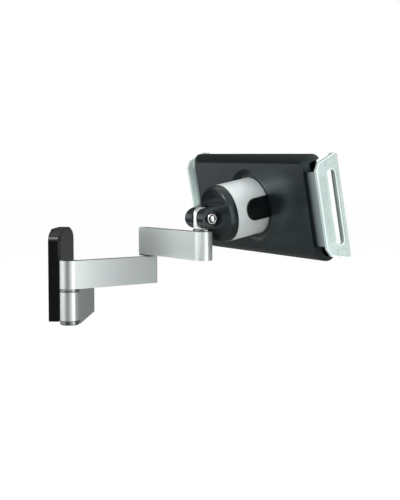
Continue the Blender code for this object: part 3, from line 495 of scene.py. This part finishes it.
def add_bolt_face():
    """The bolt head's turned rim, a black disc of painted shade on its face, and the bright domed end in
    its middle.
    """
    rim = [(x, BOLT_FACE_Y, z) for x, z in circle(BOLT_RADIUS - BOLT_BEAD)]
    add_bead("tilt_bolt_rim", rim, BOLT_BEAD, HEAD_MATRIX, "head", chrome, closed=True)
    # A thin black disc where the recess round the domed end is in shade: painted shade
    face = [
        (BOLT_FACE_Y - SOCKET_RISE, SOCKET_RADIUS - SOCKET_STEP),
        (BOLT_FACE_Y, SOCKET_RADIUS),
        (BOLT_FACE_Y + SOCKET_STEP, SOCKET_RADIUS),
    ]
    add_turned_piece("tilt_bolt_face", face, HEAD_MATRIX, "head", gloss_black)
    dome = []
    for step in range(DOME_STEPS + 1):
        angle = math.pi / 2 * step / DOME_STEPS
        depth = DOME_HEIGHT - DOME_CROWN * (1 - math.cos(angle))
        radius = DOME_FLAT_RADIUS + (DOME_RADIUS - DOME_FLAT_RADIUS) * math.sin(angle)
        dome.append((BOLT_FACE_Y - depth, radius))
    dome.append((BOLT_FACE_Y, DOME_RADIUS))
    add_turned_piece("tilt_bolt_dome", dome, HEAD_MATRIX, "head", chrome)


# Studio and camera


def area_light(name, place, target, size, power, in_reflections=True, spread=180.0):
    """A lamp of this size in metres and power in watts, which the camera doesn't see."""
    light = bpy.data.lights.new(name, "AREA")
    light.shape = "RECTANGLE"
    light.size, light.size_y = size
    light.energy = power
    light.spread = math.radians(spread)
    obj = add_object(name, light)
    obj.location = place
    obj.visible_camera = False
    obj.visible_glossy = in_reflections
    direction = Vector(target) - obj.location
    obj.rotation_euler = direction.to_track_quat("-Z", "Y").to_euler()


def ring(tree, vector, stops):
    """Brightness by heading round the vertical axis, read from the vector's x and y."""
    heading = add_node(tree, "ShaderNodeTexGradient", gradient_type="RADIAL")
    tree.links.new(vector, heading.inputs["Vector"])
    ramp = add_node(tree, "ShaderNodeValToRGB")
    points = ramp.color_ramp.elements
    while len(points) < len(stops):
        points.new(0.5)
    for point, (angle, level) in zip(points, stops):
        point.position = (angle - RING_START) / 360.0
        point.color = (level, level, level, 1.0)
    tree.links.new(heading.outputs["Fac"], ramp.inputs["Fac"])
    return ramp.outputs["Color"]


def add_floor():
    """A pale floor, white to the camera but for the shadow, and shaded like the studio in reflections."""
    half = FLOOR_SIZE / 2
    mesh = bpy.data.meshes.new("floor")
    corners = [(-half, -half), (half, -half), (half, half), (-half, half)]
    mesh.from_pydata([(x, y, FLOOR_LEVEL) for x, y in corners], [], [(0, 1, 2, 3)])
    material = bpy.data.materials.new("floor_white")
    material.use_nodes = True
    mesh.materials.append(material)
    tree = material.node_tree
    shader = tree.nodes["Principled BSDF"]
    shader.inputs["Base Color"].default_value = (*FLOOR_COLOUR, 1.0)
    shader.inputs["Roughness"].default_value = FLOOR_ROUGHNESS
    rays = add_node(tree, "ShaderNodeLightPath").outputs
    place = add_node(tree, "ShaderNodeTexCoord").outputs["Object"]
    # Painted shade: in reflections the floor is darker near the object
    distance = add_node(tree, "ShaderNodeVectorMath", operation="LENGTH")
    tree.links.new(place, distance.inputs[0])
    painted_near_shade = map_range(tree, distance.outputs["Value"], *FLOOR_SHADE_REACH, FLOOR_NEAR_SHADE, 1.0)
    shaded = add_node(tree, "ShaderNodeVectorMath", operation="SCALE")
    tree.links.new(ring(tree, place, LOW_RING), shaded.inputs[0])
    tree.links.new(painted_near_shade, shaded.inputs["Scale"])
    glow = add_node(tree, "ShaderNodeEmission")
    white = (FLOOR_GLOW, FLOOR_GLOW, FLOOR_GLOW)
    colour = mix_colour(tree, rays["Is Camera Ray"], shaded.outputs["Vector"], white)
    tree.links.new(colour, glow.inputs["Color"])
    seen = calculate(tree, "MAXIMUM", rays["Is Camera Ray"], rays["Is Glossy Ray"])
    share = calculate(tree, "MULTIPLY", seen, FLOOR_GLOW_SHARE)
    surface = mix_shaders(tree, share, shader.outputs[0], glow.outputs[0])
    tree.links.new(surface, tree.nodes["Material Output"].inputs["Surface"])
    obj = add_object("floor", mesh)


def set_world():
    """White behind the object; reflections see the light and dark panels of a studio."""
    world = bpy.data.worlds.new("studio")
    bpy.context.scene.world = world
    world.use_nodes = True
    tree = world.node_tree
    fill = tree.nodes["Background"]
    fill.inputs["Color"].default_value = (*FILL_COLOUR, 1.0)
    fill.inputs["Strength"].default_value = FILL_STRENGTH
    direction = add_node(tree, "ShaderNodeTexCoord").outputs["Generated"]
    parts = add_node(tree, "ShaderNodeSeparateXYZ")
    tree.links.new(direction, parts.inputs[0])
    height = parts.outputs["Z"]
    rays = add_node(tree, "ShaderNodeLightPath").outputs
    low = ring(tree, direction, LOW_RING)
    middle = ring(tree, direction, MIDDLE_RING)
    studio = mix_colour(tree, map_range(tree, height, *MIDDLE_START), low, middle)
    overhead = (OVERHEAD, OVERHEAD, OVERHEAD)
    studio = mix_colour(tree, map_range(tree, height, *OVERHEAD_START), studio, overhead)
    shown = add_node(tree, "ShaderNodeBackground")
    colour = mix_colour(tree, rays["Is Camera Ray"], studio, (1.0, 1.0, 1.0))
    tree.links.new(colour, shown.inputs["Color"])
    seen = calculate(tree, "MAXIMUM", rays["Is Camera Ray"], rays["Is Glossy Ray"])
    seen = calculate(tree, "MAXIMUM", seen, rays["Is Transmission Ray"])
    surface = mix_shaders(tree, seen, fill.outputs[0], shown.outputs[0])
    tree.links.new(surface, tree.nodes["World Output"].inputs["Surface"])


def add_camera():
    camera = bpy.data.cameras.new("camera")
    camera.sensor_width = SENSOR_WIDTH
    camera.lens = CAMERA_LENS
    camera.clip_start = 0.01
    camera.clip_end = 50.0
    obj = add_object("camera", camera)
    obj.location = CAMERA_PLACE
    obj.rotation_euler = (math.radians(CAMERA_PITCH), 0.0, math.radians(CAMERA_HEADING))
    bpy.context.scene.camera = obj


clear_scene()
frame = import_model()

# Metal finishes; the arms' grain runs along each blade
arm_1_metal = make_aluminium(
    "arm_1_metal", (0.27, 0.30), stretch=(0.05, 1.0, 1.0), turn=ARM_1_HEADING
)
# Arm 2 has darker tones than the same aluminium on arm 1: painted shade
arm_2_painted_shade_metal = make_aluminium(
    "arm_2_painted_shade_metal", (0.21, 0.24), tones=((0.56, 0.60, 0.59), (0.525, 0.565, 0.555)),
    metallic=0.60, stretch=(0.05, 1.0, 1.0), turn=ARM_2_HEADING,
)
bracket_metal = make_aluminium("bracket_metal", (0.27, 0.31), stretch=(1.0, 0.05, 1.0))
sleeve_metal = make_aluminium("sleeve_metal", (0.40, 0.48), metallic=0.50)
nickel = make_material(
    "nickel", (0.93, 0.94, 0.94), (0.89, 0.90, 0.90), (0.16, 0.24), metallic=0.72,
    wear_and_highlight_colour=(0.96, 0.97, 0.97), grain_scale=1800.0, grain_height=0.001, grain_strength=0.06,
)
# Chrome is painted darker deep in its recesses, such as the bolt's socket: painted shade
chrome = make_material(
    "chrome", (0.88, 0.89, 0.90), (0.83, 0.84, 0.85), (0.07, 0.14), metallic=1.0,
    wear_and_highlight_colour=(0.93, 0.94, 0.95), grain_scale=900.0, grain_height=0.001, grain_strength=0.06,
    painted_shade_colour=(0.015, 0.016, 0.017), painted_shade_reach=3.0,
)
black_chrome = make_material(
    "black_chrome", (0.38, 0.395, 0.40), (0.34, 0.355, 0.36), (0.03, 0.05), metallic=1.0,
    wear_and_highlight_colour=(0.40, 0.41, 0.42), grain_scale=900.0, grain_height=0.001, grain_strength=0.05,
)
steel = make_material(
    "steel", (0.52, 0.53, 0.54), (0.45, 0.46, 0.47), (0.24, 0.38), metallic=1.0,
    wear_and_highlight_colour=(0.66, 0.67, 0.68), grain_scale=1400.0, grain_strength=0.20,
)

# Plastic and rubber finishes
satin_black = make_material(
    "satin_black", (0.010, 0.011, 0.0115), (0.014, 0.0155, 0.016), (0.32, 0.42),
    wear_and_highlight_colour=(0.035, 0.038, 0.040), grain_scale=2600.0, grain_height=0.006,
)
holder_black = make_material(
    "holder_black", (0.005, 0.0075, 0.0080), (0.007, 0.010, 0.0105), (0.24, 0.28),
    wear_and_highlight_colour=(0.020, 0.025, 0.027), grain_scale=2600.0, grain_height=0.003, grain_strength=0.06,
    Specular_Tint=(0.80, 1.0, 1.0, 1.0),
)
cap_black = make_material(
    "cap_black", (0.0085, 0.0110, 0.0115), (0.012, 0.0155, 0.016), (0.17, 0.24),
    wear_and_highlight_colour=(0.022, 0.026, 0.027), grain_scale=2600.0, grain_height=0.002, grain_strength=0.08,
    Specular_Tint=(0.82, 1.0, 1.0, 1.0),
)
cover_black = make_material(
    "cover_black", (0.002, 0.0028, 0.0030), (0.003, 0.0038, 0.0040), (0.22, 0.30),
    wear_and_highlight_colour=(0.020, 0.024, 0.025), grain_scale=2600.0, grain_height=0.003, grain_strength=0.10,
    Specular_IOR_Level=0.4,
)
gloss_black = make_material(
    "gloss_black", (0.004, 0.0045, 0.005), (0.006, 0.0065, 0.008), (0.05, 0.10),
    wear_and_highlight_colour=(0.030, 0.033, 0.035), grain_scale=1200.0, grain_height=0.001, grain_strength=0.06,
    Coat_Weight=0.7, Coat_Roughness=0.04,
)
nylon = make_material(
    "nylon", (0.66, 0.65, 0.61), (0.60, 0.59, 0.55), (0.42, 0.56), Subsurface_Weight=0.15,
)
grip_clear = make_material(
    "grip_clear", (0.455, 0.54, 0.515), (0.40, 0.48, 0.46), (0.18, 0.24),
    grain_scale=1800.0, grain_height=0.002, grain_strength=0.08, IOR=1.49,
    Subsurface_Weight=0.20, Subsurface_Scale=0.0015,
)
# A lighter copy of the grips' plastic for their edge and slot rim: painted highlight
grip_painted_highlight = make_material(
    "grip_painted_highlight", (0.78, 0.86, 0.83), (0.70, 0.78, 0.75), (0.10, 0.16),
    grain_scale=1800.0, grain_height=0.001, grain_strength=0.05, IOR=1.49,
    Subsurface_Weight=0.15, Subsurface_Scale=0.001,
)
# Sliders dark under the holder's edge, painted shade, and lighter beside the grips
slider_grey = make_material(
    "slider_grey", (0.012, 0.016, 0.017), (0.020, 0.025, 0.027), (0.14, 0.22),
    grain_height=0.002, grain_strength=0.08, colour_past_painted_shade=(0.36, 0.435, 0.445),
)
pad_rubber = make_material(
    "pad_rubber", (0.018, 0.018, 0.019), (0.026, 0.026, 0.027), (0.72, 0.88),
    grain_scale=1500.0, grain_height=0.020, grain_strength=0.5,
)

# Finish and edge rounding of each frame piece, from the wall outwards
dress(steel, 0.3, "wall_plate")
dress(cover_black, 0.25, "wall_cover")
dress(bracket_metal, 0.35, "wall_bracket")
dress(steel, 0.15, "bracket_screw_near", "bracket_screw_far", "wall_pin", "elbow_pin")
dress(black_chrome, 0.06, "wall_end_cap", "wall_washer", "head_washer")
dress(gloss_black, 0.15, "wall_pin_cap", "elbow_cap")
dress(arm_1_metal, 0.35, "arm_1")
dress(arm_2_painted_shade_metal, 0.35, "arm_2")
dress(satin_black, 0.2, "elbow_pad", "head_core")
dress(nylon, 0.1, "wall_bush", "elbow_bush", "head_bush", "tilt_washer_near", "tilt_washer_far")
dress(nickel, 0.15, "swivel_block", segments=2)
dress(steel, 0.15, "swivel_screw", "tilt_nut", "lock_hub")
dress(chrome, 0.12, "tilt_bolt")
dress(cap_black, 0.3, "tilt_cap")
dress(sleeve_metal, 0.25, "sleeve")
dress(gloss_black, 0.4, "release_button_near", "release_button_far")
dress(holder_black, 0.35, "holder_shell")
dress(satin_black, 0.3, "front_plate")
dress(nylon, 0.1, "pinion")
for side in ("near", "far"):
    dress(pad_rubber, 0.3, f"rubber_pad_{side}_low", f"rubber_pad_{side}_high")
    dress(slider_grey, 0.25, f"slider_{side}")
    dress(grip_clear, 0.5, f"grip_{side}")

add_grip_lines("near", -1)
add_grip_lines("far", 1)
add_bolt_face()

# Large lamps, then small ones that shade the two arms, the glossy pieces and the holder's back
area_light("key", (-0.25, -0.80, 1.20), STAGE_MIDDLE, (0.6, 0.5), 9.0)
area_light("right", (1.10, -0.35, 0.45), STAGE_MIDDLE, (0.6, 0.8), 3.6, in_reflections=False)
area_light("left", (-0.90, -0.45, 0.25), STAGE_MIDDLE, (0.6, 0.8), 2.4, in_reflections=False)
area_light("arm_box", (0.30, -0.21, -0.02), (0.05, -0.05, 0.0), (0.16, 0.40), 0.21)
area_light(
    "arm_front", (0.055, -0.17, 0.04), (0.100, -0.04, 0.034), (0.04, 0.04), 0.016,
    in_reflections=False, spread=36.0,
)
for name, heading in STRIP_HEADINGS.items():
    angle = math.radians(heading)
    strip_x = STAGE_MIDDLE[0] + STRIP_DISTANCE * math.sin(angle)
    strip_y = STAGE_MIDDLE[1] - STRIP_DISTANCE * math.cos(angle)
    area_light(name, (strip_x, strip_y, STRIP_LEVEL), STAGE_MIDDLE, STRIP_SIZE, STRIP_POWER)
area_light(
    "low_front", (0.02, -0.34, -0.10), (0.2, -0.08, 0.03), (0.15, 0.15), 0.16, in_reflections=False
)
add_floor()
set_world()
add_camera()
bpy.context.scene.view_settings.view_transform = "Standard"
